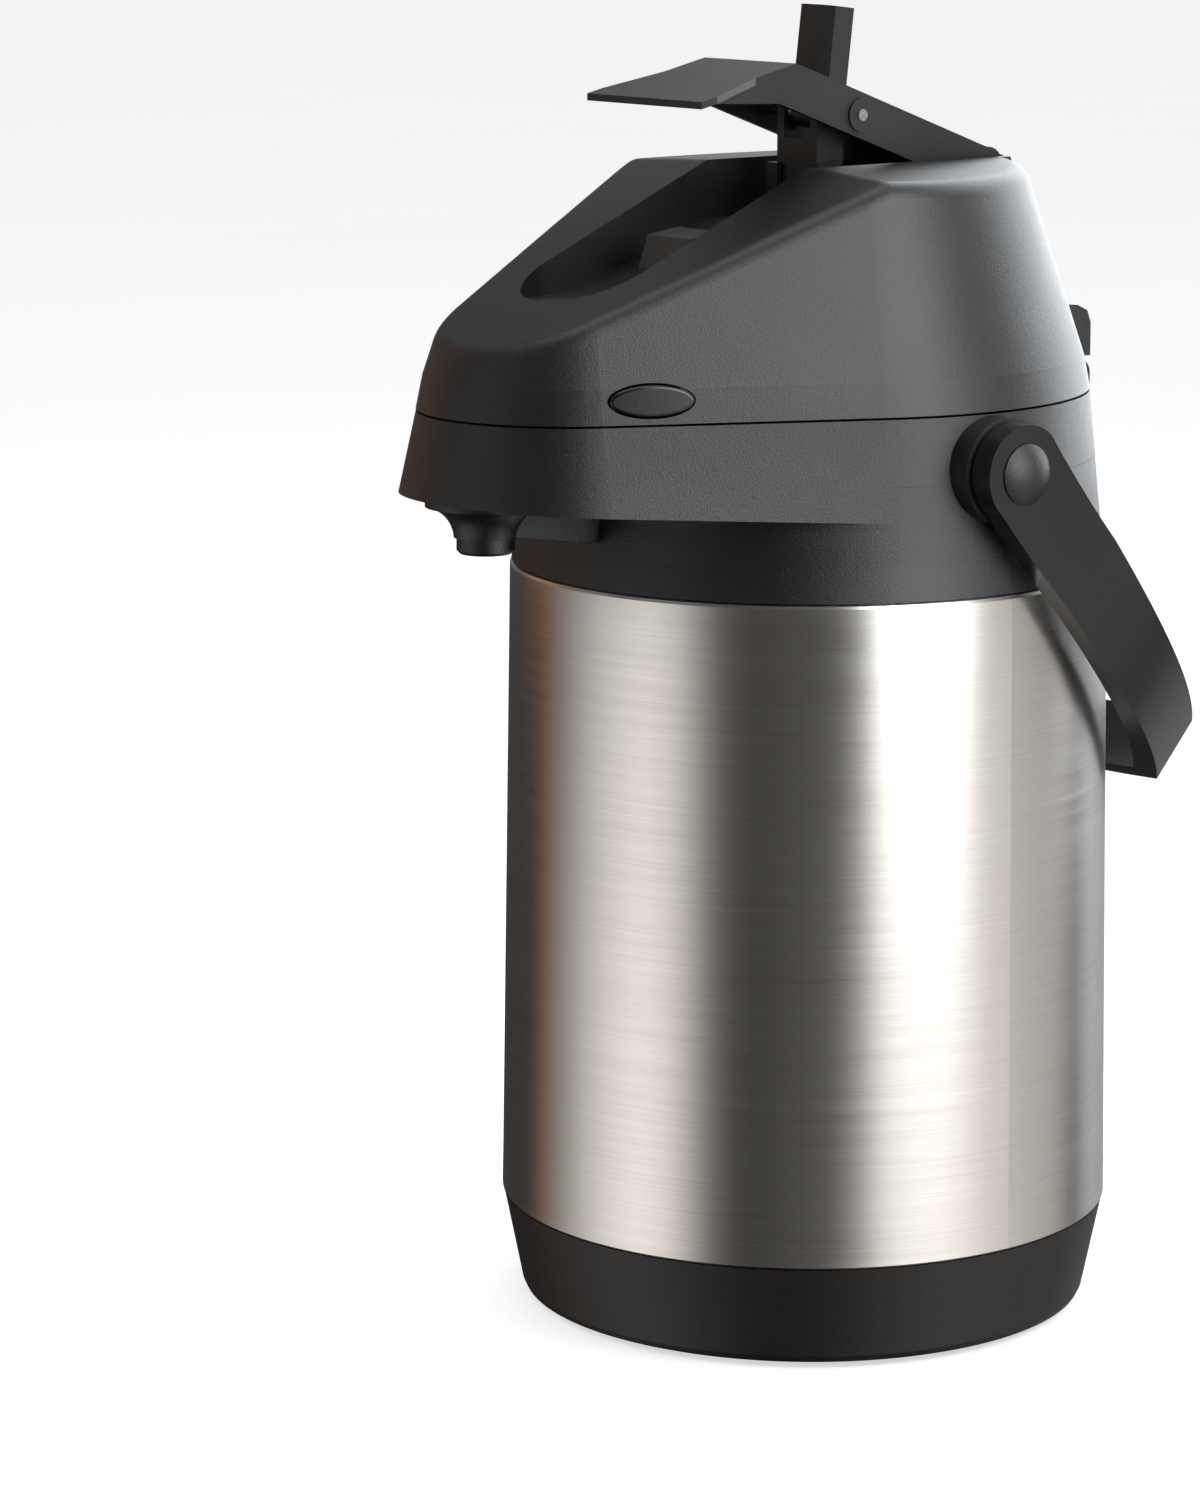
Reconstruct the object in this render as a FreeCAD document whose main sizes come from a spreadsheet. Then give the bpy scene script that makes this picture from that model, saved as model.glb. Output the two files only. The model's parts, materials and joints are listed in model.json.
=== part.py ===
import FreeCAD, Part
import math
import os
import Sketcher

# Lever-action coffee airpot: a vacuum flask in a brushed steel jacket, with a plastic
# collar, a hinged pump lid, a press lever and a carrying bail.
# Millimetres. The origin is the centre of the foot disc on the counter, +Z up.
# The spout points to -Y, so the lid hinge is at +Y. +X is the right-hand side seen from behind.

doc = FreeCAD.newDocument("airpot")
Vector = FreeCAD.Vector
X_AXIS = Vector(1, 0, 0)
Y_AXIS = Vector(0, 1, 0)
Z_AXIS = Vector(0, 0, 1)
ORIGIN = Vector(0, 0, 0)

# ---------------------------------------------------------------- driving dimensions

DIMENSIONS = {
    # steel jacket and flask
    "jacket_radius_low": 80.0,
    "jacket_radius_high": 77.5,
    "jacket_bottom": 27.6,
    "jacket_top": 196.2,
    "steel_wall": 0.8,
    "jacket_foot_radius": 71.5,
    "jacket_foot_bottom": 10.0,
    "jacket_step_radius": 74.2,
    "shoulder_start": 204.0,
    "shoulder_end": 221.0,
    "neck_radius": 36.0,
    "neck_top": 224.0,
    "flask_radius": 70.0,
    "flask_bottom": 34.0,
    "flask_shoulder": 197.0,
    "flask_neck_radius": 34.9,
    # base
    "foot_radius": 58.0,
    "foot_height": 1.6,
    "cup_foot_radius": 72.4,
    "cup_radius_top": 79.7,
    "cup_top": 27.4,
    "cup_wall": 2.2,
    "cup_lift": 1.0,
    "cup_floor": 4.0,
    # footprint of the collar and lid: a big round for the flask, a small one for the nose
    "nose_reach": 79.0,
    "seam_radius": 72.3,
    "seam_nose_radius": 38.0,
    "seam_height": 241.0,
    "lip_radius": 74.9,
    "lip_nose_radius": 43.9,
    "lip_height": 214.0,
    "lip_rise": 0.06,
    "skirt_bottom": 196.5,
    "skirt_radius": 77.1,
    "plastic_wall": 2.4,
    "deck_bottom": 222.3,
    "deck_thickness": 2.4,
    "deck_bore": 45.0,
    # mouth ring, tubes and nozzle
    "mouth_bore": 31.0,
    "mouth_radius": 44.0,
    "mouth_top": 239.0,
    "mouth_bottom": 222.2,
    "mouth_flange_radius": 52.0,
    "mouth_flange_bottom": 225.0,
    "mouth_flange_thickness": 3.0,
    "seal_thickness": 1.0,
    "dip_offset": 23.5,
    "dip_radius": 4.0,
    "dip_bore": 3.0,
    "dip_bottom": 40.0,
    "dip_top": 215.8,
    "tube_radius": 4.5,
    "tube_bore": 3.2,
    "tube_bend": 9.0,
    "tube_height": 231.5,
    "sleeve_radius": 6.0,
    "sleeve_length": 12.0,
    "nozzle_reach": 105.0,
    "nozzle_radius": 7.25,
    "nozzle_bore": 4.0,
    "nozzle_outlet": 207.5,
    "nozzle_top": 224.0,
    "flare_radius": 15.0,
    # carrying handle
    "pivot_forward": 3.0,
    "pivot_height": 227.3,
    "bail_half_width": 85.0,
    "bail_thickness": 6.2,
    "bail_hub_radius": 12.3,
    "bail_straight": 36.0,
    "bail_mid_half_width": 71.5,
    "bail_mid_drop": 86.0,
    "bail_corner_half_width": 44.0,
    "bail_corner_drop": 129.0,
    "bail_drop": 132.5,
    "bail_bow": 6.0,
    "bail_end_width": 19.0,
    "bail_rest_angle": 48.0,
    "stud_radius": 4.0,
    "stud_cap_radius": 7.6,
    "stud_cap_height": 2.6,
    "stud_inner_end": 70.0,
    "boss_radius": 13.4,
    "boss_face": 77.8,
    "washer_thickness": 0.8,
    # lid
    "lid_bottom": 241.6,
    "band_top": 250.0,
    "band_draft": 1.7,
    "lid_draft": 0.33,
    "lid_crown_height": 299.1,
    "lid_crown_radius": 700.0,
    "slope_start": 18.7,
    "slope_angle": 23.65,
    "lid_edge_round": 5.5,
    "recess_half_width": 19.0,
    "recess_front": 88.5,
    "recess_rear": 52.0,
    "recess_floor": 284.0,
    "recess_wall": 2.0,
    "recess_corner": 18.0,
    "plate_bottom": 243.0,
    "plate_thickness": 2.5,
    "plate_gap": 0.8,
    "plate_bore": 20.0,
    "gasket_bore": 31.6,
    "gasket_radius": 41.5,
    "gasket_bottom": 239.3,
    # rear hinge
    "hinge_back": 77.2,
    "hinge_height": 240.0,
    "hinge_pin_radius": 2.0,
    "knuckle_radius": 4.2,
    "hinge_half_width": 20.0,
    "knuckle_half_width": 11.6,
    "hinge_cover_top": 258.5,
    "hinge_cover_bottom": 244.8,
    "hinge_base_top": 235.3,
    # lever
    "lever_pivot_back": 45.0,
    "lever_pivot_height": 296.0,
    "lever_pin_radius": 1.75,
    "lever_half_width": 18.0,
    "lever_wall": 2.0,
    "paddle_half_width": 22.6,
    "paddle_tip": 55.2,
    "paddle_tip_height": 317.0,
    "paddle_thickness": 1.8,
    "lever_bend": 20.5,
    "lever_bend_height": 325.0,
    "lever_hub_radius": 5.4,
    "cross_pin_back": 1.0,
    "cross_pin_height": 311.4,
    "cross_pin_radius": 1.5,
    "lug_radius": 4.3,
    "lug_height": 0.6,
    "lock_slot_half_width": 8.1,
    # lock bar
    "lock_half_width": 6.5,
    "lock_half_depth": 4.3,
    "lock_length": 26.8,
    "lock_tongue_half_width": 4.9,
    "lock_shoulder": 6.8,
    "lock_lean": 7.0,
    "lock_bevel": 2.4,
    # pump
    "rod_half_width": 7.7,
    "rod_front": 4.8,
    "rod_back": 4.2,
    "rod_top": 314.4,
    "rod_fork_bottom": 304.6,
    "rod_fork_gap": 5.1,
    "pin_slot_front": 1.6,
    "pin_slot_clearance": 0.25,
    "piston_radius": 27.0,
    "piston_bottom": 276.5,
    "piston_thickness": 2.5,
    "bellows_radius": 30.0,
    "bellows_inner": 24.0,
    "bellows_wall": 0.8,
    "spring_radius": 21.6,
    "spring_wire": 0.8,
    # latch and buttons
    "latch_half_width": 8.6,
    "button_side": 38.9,
    "button_forward": 83.9,
    "button_height": 247.2,
    "button_half_length": 10.6,
    "button_half_height": 3.9,
    "running_clearance": 0.05,
    "slide_clearance": 0.3,
}

sheet = doc.addObject("Spreadsheet::Sheet", "Sizes")
for row, (alias, number) in enumerate(DIMENSIONS.items(), start=1):
    sheet.set(f"A{row}", alias.replace("_", " "))
    sheet.set(f"B{row}", str(number))
    sheet.setAlias(f"B{row}", alias)
doc.recompute()


class Size:
    """A number together with the sheet expression that gives it."""

    def __init__(self, text, value):
        self.text = text
        self.value = float(value)

    @staticmethod
    def of(other):
        return other if isinstance(other, Size) else Size(repr(float(other)), other)

    def __add__(self, other):
        other = Size.of(other)
        return Size(f"({self.text} + {other.text})", self.value + other.value)

    def __sub__(self, other):
        other = Size.of(other)
        return Size(f"({self.text} - {other.text})", self.value - other.value)

    def __mul__(self, factor):
        return Size(f"({self.text} * {factor})", self.value * factor)

    def __neg__(self):
        return Size(f"(0 - {self.text})", -self.value)


class Sizes:
    """The sheet's cells as attributes."""

    def __getattr__(self, alias):
        return Size(f"Sizes.{alias}", sheet.get(alias))


S = Sizes()


def val(alias):
    return float(sheet.get(alias))


# ---------------------------------------------------------------- building helpers

nodes = []


def node(obj, label):
    """Marks an object as a finished sub-part."""
    obj.Label = label
    nodes.append(obj)
    return obj


def bind(obj, **sizes):
    for name, size in sizes.items():
        obj.setExpression(name, Size.of(size).text)
    return obj


def move(obj, x=0.0, y=0.0, z=0.0, axis=Z_AXIS, angle=0.0):
    """Places an object, with each coordinate bound to the sheet."""
    x, y, z = Size.of(x), Size.of(y), Size.of(z)
    spot = Vector(x.value, y.value, z.value)
    obj.Placement = FreeCAD.Placement(spot, FreeCAD.Rotation(axis, angle))
    for name, size in (("x", x), ("y", y), ("z", z)):
        obj.setExpression(f"Placement.Base.{name}", size.text)
    return obj


def cylinder(name, radius, height, **place):
    obj = doc.addObject("Part::Cylinder", name)
    bind(obj, Radius=radius, Height=height)
    return move(obj, **place)


def box(name, length, width, height, **place):
    obj = doc.addObject("Part::Box", name)
    bind(obj, Length=length, Width=width, Height=height)
    return move(obj, **place)


def cut(name, base, *tools):
    for number, tool in enumerate(tools):
        result = doc.addObject("Part::Cut", f"{name}_cut{number}")
        result.Base = base
        result.Tool = tool
        base = result
    return base


def fuse(name, *shapes):
    result = doc.addObject("Part::MultiFuse", f"{name}_fuse")
    result.Shapes = list(shapes)
    return result


def common(name, *shapes):
    result = doc.addObject("Part::MultiCommon", f"{name}_common")
    result.Shapes = list(shapes)
    return result


def group(name, *shapes):
    """Separate identical solids in one node."""
    result = doc.addObject("Part::Compound", f"{name}_group")
    result.Links = list(shapes)
    return result


def plane_of(body, role):
    return next(item for item in body.Origin.OriginFeatures if item.Role == role)


def polygon_sketch(body, name, role, corners):
    """A closed outline whose every corner is bound to the sheet."""
    sketch = body.newObject("Sketcher::SketchObject", name)
    sketch.AttachmentSupport = [(plane_of(body, role), "")]
    sketch.MapMode = "FlatFace"
    corners = [(Size.of(u), Size.of(v)) for u, v in corners]
    points = [Vector(u.value, v.value, 0) for u, v in corners]
    count = len(points)
    for index in range(count):
        sketch.addGeometry(Part.LineSegment(points[index], points[(index + 1) % count]), False)
    for index in range(count):
        sketch.addConstraint(
            Sketcher.Constraint("Coincident", index, 2, (index + 1) % count, 1)
        )
    for index, (u, v) in enumerate(corners):
        for kind, size in (("DistanceX", u), ("DistanceY", v)):
            place = sketch.addConstraint(
                Sketcher.Constraint(kind, -1, 1, index, 1, size.value)
            )
            sketch.setExpression(f"Constraints[{place}]", size.text)
    return sketch


def revolved_body(label, profile, **place):
    """A PartDesign body turned about Z from a closed (radius, height) outline."""
    body = doc.addObject("PartDesign::Body", label)
    sketch = polygon_sketch(body, f"{label}_profile", "XZ_Plane", profile)
    turn = body.newObject("PartDesign::Revolution", f"{label}_turn")
    turn.Profile = sketch
    turn.ReferenceAxis = (sketch, ["V_Axis"])
    turn.Angle = 360
    body.Tip = turn
    move(body, **place)
    return body


def feature(label, shape, position=ORIGIN, rotation=FreeCAD.Rotation()):
    """A free-form sub-part: its Shape first, then its Placement."""
    obj = doc.addObject("Part::Feature", label)
    obj.Shape = shape
    obj.Placement = FreeCAD.Placement(position, rotation)
    return node(obj, label)


def prism(points, direction, start=ORIGIN):
    """A straight-sided solid from corner points, moved by start."""
    wire = Part.makePolygon([point + start for point in points + points[:1]])
    return Part.Face(wire).extrude(direction)


def side_prism(corners, half_width):
    """A solid with an outline in (y, z), symmetric about the X = 0 plane."""
    points = [Vector(-half_width, y, z) for y, z in corners]
    return prism(points, Vector(2 * half_width, 0, 0))


def through_x(radius, y, z, half_width):
    return Part.makeCylinder(radius, 2 * half_width, Vector(-half_width, y, z), X_AXIS)


def straight(a, b):
    return Part.LineSegment(a, b).toShape()


def arc(a, b, c):
    return Part.Arc(a, b, c).toShape()


# ---------------------------------------------------------------- the shared footprint


def footprint(radius, nose_radius, height):
    """The round of the flask and the round of the nose, joined by their two tangents."""
    reach = val("nose_reach")
    lean = math.asin((radius - nose_radius) / reach)
    side = Vector(math.cos(lean), -math.sin(lean), 0)
    mirror = Vector(-side.x, side.y, 0)
    level = Vector(0, 0, height)
    nose = Vector(0, -reach, height)
    right_big, left_big = level + side * radius, level + mirror * radius
    right_nose, left_nose = nose + side * nose_radius, nose + mirror * nose_radius
    return Part.Wire([
        arc(right_big, level + Vector(0, radius, 0), left_big),
        straight(left_big, left_nose),
        arc(left_nose, nose - Vector(0, nose_radius, 0), right_nose),
        straight(right_nose, right_big),
    ])


def stacked(sections):
    """A solid through a stack of footprints, each (radius, nose radius, height)."""
    solids = []
    for lower, upper in zip(sections, sections[1:]):
        solids.append(Part.makeLoft([footprint(*lower), footprint(*upper)], True, True))
    result = solids[0]
    for solid in solids[1:]:
        result = result.fuse(solid)
    return result.removeSplitter()


# ---------------------------------------------------------------- base

node(cylinder("foot_disc", S.foot_radius, S.foot_height), "foot_disc")

node(
    revolved_body("base_cup", [
        (0, S.foot_height),
        (S.foot_radius + 0.3, S.foot_height),
        (S.foot_radius + 0.3, S.cup_lift),
        (S.cup_foot_radius, S.cup_lift),
        (S.cup_foot_radius + 1.6, S.cup_lift + 0.6),
        (S.cup_foot_radius + 2.4, S.cup_lift + 2.2),
        (S.cup_radius_top, S.cup_top),
        (S.cup_radius_top - S.cup_wall, S.cup_top),
        (S.cup_foot_radius, S.cup_floor),
        (0, S.cup_floor),
    ]),
    "base_cup",
)

# ---------------------------------------------------------------- flask

node(
    revolved_body("outer_jacket", [
        (S.jacket_foot_radius, S.jacket_foot_bottom),
        (S.jacket_foot_radius, S.jacket_bottom),
        (S.jacket_radius_low - 0.5, S.jacket_bottom),
        (S.jacket_radius_low, S.jacket_bottom + 0.5),
        (S.jacket_radius_high, S.jacket_top - 1.0),
        (S.jacket_radius_high - 0.3, S.jacket_top - 0.3),
        (S.jacket_radius_high - 1.0, S.jacket_top),
        (S.jacket_step_radius, S.jacket_top),
        (S.jacket_step_radius, S.shoulder_start),
        (S.neck_radius + 1.0, S.shoulder_end),
        (S.neck_radius, S.shoulder_end + 1.0),
        (S.neck_radius, S.neck_top),
        (S.neck_radius - S.steel_wall, S.neck_top),
        (S.neck_radius - S.steel_wall, S.shoulder_end),
        (S.jacket_step_radius - S.steel_wall, S.shoulder_start - 0.6),
        (S.jacket_step_radius - S.steel_wall, S.jacket_top - S.steel_wall),
        (S.jacket_radius_high - S.steel_wall, S.jacket_top - 1.4),
        (S.jacket_radius_low - S.steel_wall, S.jacket_bottom + S.steel_wall),
        (S.jacket_foot_radius - S.steel_wall, S.jacket_bottom + S.steel_wall),
        (S.jacket_foot_radius - S.steel_wall, S.jacket_foot_bottom),
    ]),
    "outer_jacket",
)

node(
    revolved_body("jacket_base", [
        (0, S.jacket_foot_bottom - 1.6),
        (S.foot_radius, S.jacket_foot_bottom - 1.6),
        (S.jacket_foot_radius - S.steel_wall, S.jacket_foot_bottom + 0.2),
        (S.jacket_foot_radius - S.steel_wall, S.jacket_foot_bottom + 1.4),
        (S.foot_radius, S.jacket_foot_bottom - 0.4),
        (0, S.jacket_foot_bottom - 0.4),
    ]),
    "jacket_base",
)

node(cylinder("vacuum_plug", 8.0, 2.0, z=S.jacket_foot_bottom - 3.6), "vacuum_plug")

node(
    revolved_body("inner_flask", [
        (0, S.flask_bottom),
        (S.flask_radius - 12.0, S.flask_bottom),
        (S.flask_radius - 3.0, S.flask_bottom + 4.0),
        (S.flask_radius, S.flask_bottom + 13.0),
        (S.flask_radius, S.flask_shoulder),
        (S.flask_radius - 5.0, S.flask_shoulder + 6.0),
        (S.flask_neck_radius + 3.0, S.neck_top - 7.0),
        (S.flask_neck_radius, S.neck_top - 4.5),
        (S.flask_neck_radius, S.neck_top + 0.1),
        (S.neck_radius, S.neck_top + 0.1),
        (S.neck_radius, S.neck_top + 0.6),
        (S.flask_neck_radius - S.steel_wall, S.neck_top + 0.6),
        (S.flask_neck_radius - S.steel_wall, S.neck_top - 5.0),
        (S.flask_neck_radius + 2.2, S.neck_top - 7.8),
        (S.flask_radius - 5.5, S.flask_shoulder + 5.2),
        (S.flask_radius - S.steel_wall, S.flask_shoulder - 0.4),
        (S.flask_radius - S.steel_wall, S.flask_bottom + 13.4),
        (S.flask_radius - 3.8, S.flask_bottom + 4.8),
        (S.flask_radius - 12.4, S.flask_bottom + S.steel_wall),
        (0, S.flask_bottom + S.steel_wall),
    ]),
    "inner_flask",
)

# ---------------------------------------------------------------- mouth, tubes and nozzle

node(
    revolved_body("mouth_seal", [
        (S.mouth_bore + 0.2, S.neck_top + 0.7),
        (S.neck_radius, S.neck_top + 0.7),
        (S.neck_radius, S.neck_top + 0.7 + S.seal_thickness.value),
        (S.mouth_bore + 0.2, S.neck_top + 0.7 + S.seal_thickness.value),
    ]),
    "mouth_seal",
)

mouth_solid = revolved_body("mouth_solid", [
    (S.mouth_bore, S.neck_top + 1.8),
    (S.neck_radius + 0.4, S.neck_top + 1.8),
    (S.neck_radius + 0.4, S.mouth_bottom),
    (S.mouth_radius, S.mouth_bottom),
    (S.mouth_radius, S.mouth_flange_bottom),
    (S.mouth_flange_radius, S.mouth_flange_bottom),
    (S.mouth_flange_radius, S.mouth_flange_bottom + S.mouth_flange_thickness),
    (S.mouth_radius, S.mouth_flange_bottom + S.mouth_flange_thickness),
    (S.mouth_radius, S.mouth_top),
    (S.mouth_bore, S.mouth_top),
])
mouth_port = cylinder(
    "mouth_port", S.tube_radius + 0.1, 30.0,
    y=-S.mouth_bore + 3.0, z=S.tube_height, axis=X_AXIS, angle=90,
)
node(cut("mouth_ring", mouth_solid, mouth_port), "mouth_ring")

dip_wall = cylinder("dip_wall", S.dip_radius, S.dip_top - S.dip_bottom, y=-S.dip_offset, z=S.dip_bottom)
dip_hole = cylinder("dip_hole", S.dip_bore, S.dip_top, y=-S.dip_offset, z=S.dip_bottom - 10.0)
node(cut("dip_tube", dip_wall, dip_hole), "dip_tube")

node(
    revolved_body("tube_sleeve", [
        (S.tube_radius + 0.05, 0),
        (S.sleeve_radius, 0),
        (S.sleeve_radius, S.sleeve_length),
        (S.tube_radius + 0.05, S.sleeve_length),
    ], y=-S.dip_offset, z=S.dip_top - 6.0),
    "tube_sleeve",
)


def tube_path():
    """Up from the flask, forward through the mouth ring, and down into the nozzle."""
    bend, top = val("tube_bend"), val("tube_height")
    back, front = -val("dip_offset"), -val("nozzle_reach")
    slack = bend * (1 - math.sqrt(0.5))
    start = Vector(0, back, val("dip_top") + 0.2)
    rise_end = Vector(0, back, top - bend)
    run_start = Vector(0, back - bend, top)
    run_end = Vector(0, front + bend, top)
    fall_start = Vector(0, front, top - bend)
    end = Vector(0, front, val("nozzle_top") - 8.4)
    return Part.Wire([
        straight(start, rise_end),
        arc(rise_end, Vector(0, back - slack, top - slack), run_start),
        straight(run_start, run_end),
        arc(run_end, Vector(0, front + slack, top - slack), fall_start),
        straight(fall_start, end),
    ])


def round_pipe(path, radius, at, direction):
    ring = Part.Wire([Part.makeCircle(radius, at, direction)])
    return path.makePipeShell([ring], True, True)


path = tube_path()
path_start = Vector(0, -val("dip_offset"), val("dip_top") + 0.2)
delivery = round_pipe(path, val("tube_radius"), path_start, Z_AXIS)
delivery = delivery.cut(round_pipe(path, val("tube_bore"), path_start, Z_AXIS))
feature("delivery_tube", delivery)

node(
    revolved_body("spout_nozzle", [
        (S.nozzle_bore, S.nozzle_outlet),
        (S.nozzle_radius - 0.8, S.nozzle_outlet),
        (S.nozzle_radius, S.nozzle_outlet + 0.8),
        (S.nozzle_radius, S.nozzle_top),
        (S.tube_radius + 0.1, S.nozzle_top),
        (S.tube_radius + 0.1, S.nozzle_top - 8.6),
        (S.nozzle_bore, S.nozzle_top - 8.6),
    ], y=-S.nozzle_reach),
    "spout_nozzle",
)

# ---------------------------------------------------------------- collar


def collar_block(inset):
    """The collar's outside, or its hollow when inset by a wall."""
    skirt = [
        (val("skirt_radius"), val("skirt_bottom")),
        (val("skirt_radius") - 1.2, 205.0),
        (val("lip_radius"), val("lip_height")),
        (val("seam_radius"), val("seam_height")),
    ]
    points = [Vector(radius - inset, 0, z) for radius, z in skirt]
    foot = Vector(0, 0, points[0].z)
    head = Vector(0, 0, points[-1].z)
    profile = Part.Face(Part.makePolygon([foot] + points + [head, foot]))
    barrel = profile.revolve(ORIGIN, Z_AXIS, 360)
    upper = stacked([
        (val("lip_radius") - inset, val("lip_nose_radius") - inset, val("lip_height")),
        (val("seam_radius") - inset, val("seam_nose_radius") - inset, val("seam_height")),
    ])
    rise = val("lip_rise")
    floor_at_rear = val("lip_height") - 0.2 + inset
    wedge = side_prism([
        (100, floor_at_rear - 100 * rise - 40),
        (100, floor_at_rear - 100 * rise),
        (-160, floor_at_rear + 160 * rise),
        (-160, floor_at_rear - 100 * rise - 40),
    ], 120)
    return barrel, upper.cut(wedge)


def collar_shape():
    wall = val("plastic_wall")
    barrel, nose = collar_block(0.0)
    outside = barrel.fuse(nose).removeSplitter()
    hollow_barrel, hollow_nose = collar_block(wall)
    below = Part.makeCylinder(
        val("skirt_radius") - wall, 40, Vector(0, 0, val("skirt_bottom") - 40)
    )
    above = stacked([
        (val("seam_radius") - wall, val("seam_nose_radius") - wall, val("seam_height")),
        (val("seam_radius") - wall, val("seam_nose_radius") - wall, val("seam_height") + 10),
    ])
    shell = outside.cut(hollow_barrel).cut(hollow_nose).cut(below).cut(above)
    deck = Part.makeCylinder(
        val("lip_radius") - 1.0, val("deck_thickness"), Vector(0, 0, val("deck_bottom"))
    )
    shell = shell.fuse(deck)
    # concave flare that carries the nozzle, with a web back to the skirt
    nozzle = Vector(0, -val("nozzle_reach"), 0)
    low, high = val("nozzle_outlet") + 4.0, val("nozzle_top") - 1.4
    inner, outer = val("nozzle_radius") + 0.7, val("flare_radius")
    side = Part.Wire([
        straight(Vector(0, 0, low), Vector(inner, 0, low)),
        arc(
            Vector(inner, 0, low),
            Vector(inner + 1.7, 0, low + 4.6),
            Vector(outer, 0, high - 3.4),
        ),
        straight(Vector(outer, 0, high - 3.4), Vector(outer, 0, high)),
        straight(Vector(outer, 0, high), Vector(0, 0, high)),
        straight(Vector(0, 0, high), Vector(0, 0, low)),
    ])
    flare = Part.Face(side).revolve(ORIGIN, Z_AXIS, 360)
    flare.translate(nozzle)
    web = side_prism([
        (-val("nozzle_reach"), low + 1.0),
        (-val("nozzle_reach"), high),
        (-val("lip_radius") + 1.0, high - 1.0),
        (-val("lip_radius") + 1.0, low - 4.0),
    ], inner - 1.0)
    flare = flare.fuse(web).common(outside.fuse(Part.makeBox(60, 70, 30, Vector(-30, -130, 200))))
    shell = shell.fuse(flare)
    shell = shell.cut(Part.makeCylinder(
        val("nozzle_radius") + 0.05, 30, nozzle + Vector(0, 0, low - 5)
    ))
    # pivot bosses for the carrying handle
    pivot = Vector(0, -val("pivot_forward"), val("pivot_height"))
    for side_sign in (1, -1):
        direction = X_AXIS * side_sign
        start = pivot + direction * 66
        boss = Part.makeCylinder(val("boss_radius"), val("boss_face") - 66, start, direction)
        shell = shell.fuse(boss)
        shell = shell.cut(Part.makeCylinder(val("stud_radius"), 40, pivot + direction * 60, direction))
    bore = Part.makeCylinder(val("deck_bore"), 30, Vector(0, 0, 215))
    return shell.cut(bore).removeSplitter()


feature("collar", collar_shape())

# ---------------------------------------------------------------- carrying handle


def bail_shape():
    """Hanging straight down from a pivot at the origin: a front outline and a side outline."""
    width, thickness = val("bail_half_width"), val("bail_thickness")
    straight_end = val("bail_straight")
    mid_width, mid_drop = val("bail_mid_half_width"), val("bail_mid_drop")
    corner_width, corner_drop = val("bail_corner_half_width"), val("bail_corner_drop")
    drop, hub = val("bail_drop"), val("bail_hub_radius")

    def half_outline(inset, top):
        return [
            Vector(width - inset, 0, top),
            Vector(width - inset, 0, -straight_end),
            Vector(mid_width - inset * 0.93, 0, -mid_drop + inset * 0.4),
            Vector(corner_width - inset * 0.6, 0, -corner_drop + inset),
            Vector(0, 0, -drop + inset),
        ]

    def mirror(point):
        return Vector(-point.x, point.y, point.z)

    def run(inset):
        top, bend, mid, corner, centre = half_outline(inset, hub + 1)
        return top, [
            straight(top, bend),
            arc(bend, mid, corner),
            arc(corner, centre, mirror(corner)),
            arc(mirror(corner), mirror(mid), mirror(bend)),
            straight(mirror(bend), mirror(top)),
        ]

    outer_top, outer = run(0.0)
    inner_top, inner = run(thickness)
    front = Part.Wire(
        outer
        + [straight(mirror(outer_top), mirror(inner_top))]
        + inner[::-1]
        + [straight(inner_top, outer_top)]
    )
    band = Part.Face(front)
    band.translate(Vector(0, -40, 0))
    band = band.extrude(Vector(0, 80, 0))
    bow, end = val("bail_bow"), val("bail_end_width") / 2
    middle = (hub + end) / 2 - 0.4
    side = Part.Wire([
        arc(Vector(0, -hub, 0), Vector(0, 0, hub), Vector(0, hub, 0)),
        arc(Vector(0, hub, 0), Vector(0, middle - bow, -drop / 2), Vector(0, end, -drop - 2)),
        straight(Vector(0, end, -drop - 2), Vector(0, -end, -drop - 2)),
        arc(Vector(0, -end, -drop - 2), Vector(0, -middle - bow, -drop / 2), Vector(0, -hub, 0)),
    ])
    slab = Part.Face(side)
    slab.translate(Vector(-width - 5, 0, 0))
    slab = slab.extrude(Vector(2 * width + 10, 0, 0))
    bail = band.common(slab)
    bore = through_x(val("stud_radius") + val("running_clearance"), 0, 0, width + 5)
    return bail.cut(bore)


feature(
    "carry_handle",
    bail_shape(),
    Vector(0, -val("pivot_forward"), val("pivot_height")),
    FreeCAD.Rotation(X_AXIS, val("bail_rest_angle")),
)


def handle_stud(side, turn):
    """Shaft through the hub with a domed cap, pressed into the collar's boss."""
    start = S.stud_inner_end * turn
    cap = (S.bail_half_width + 0.3) * turn
    direction = 90 * turn
    shaft = cylinder(
        f"stud_shaft_{side}", S.stud_radius, S.bail_half_width + 0.3 - S.stud_inner_end,
        x=start, y=-S.pivot_forward, z=S.pivot_height, axis=Y_AXIS, angle=direction,
    )
    rim = cylinder(
        f"stud_rim_{side}", S.stud_cap_radius, S.stud_cap_height,
        x=cap, y=-S.pivot_forward, z=S.pivot_height, axis=Y_AXIS, angle=direction,
    )
    dome = doc.addObject("Part::Sphere", f"stud_dome_{side}")
    dome_radius = S.stud_cap_radius * 1.65
    bind(dome, Radius=dome_radius)
    centre = (S.bail_half_width + 0.3 + S.stud_cap_height - dome_radius) * turn
    move(dome, x=centre, y=-S.pivot_forward, z=S.pivot_height)
    cap_solid = common(f"stud_cap_{side}", rim, dome)
    return fuse(f"stud_{side}", shaft, cap_solid)


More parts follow.
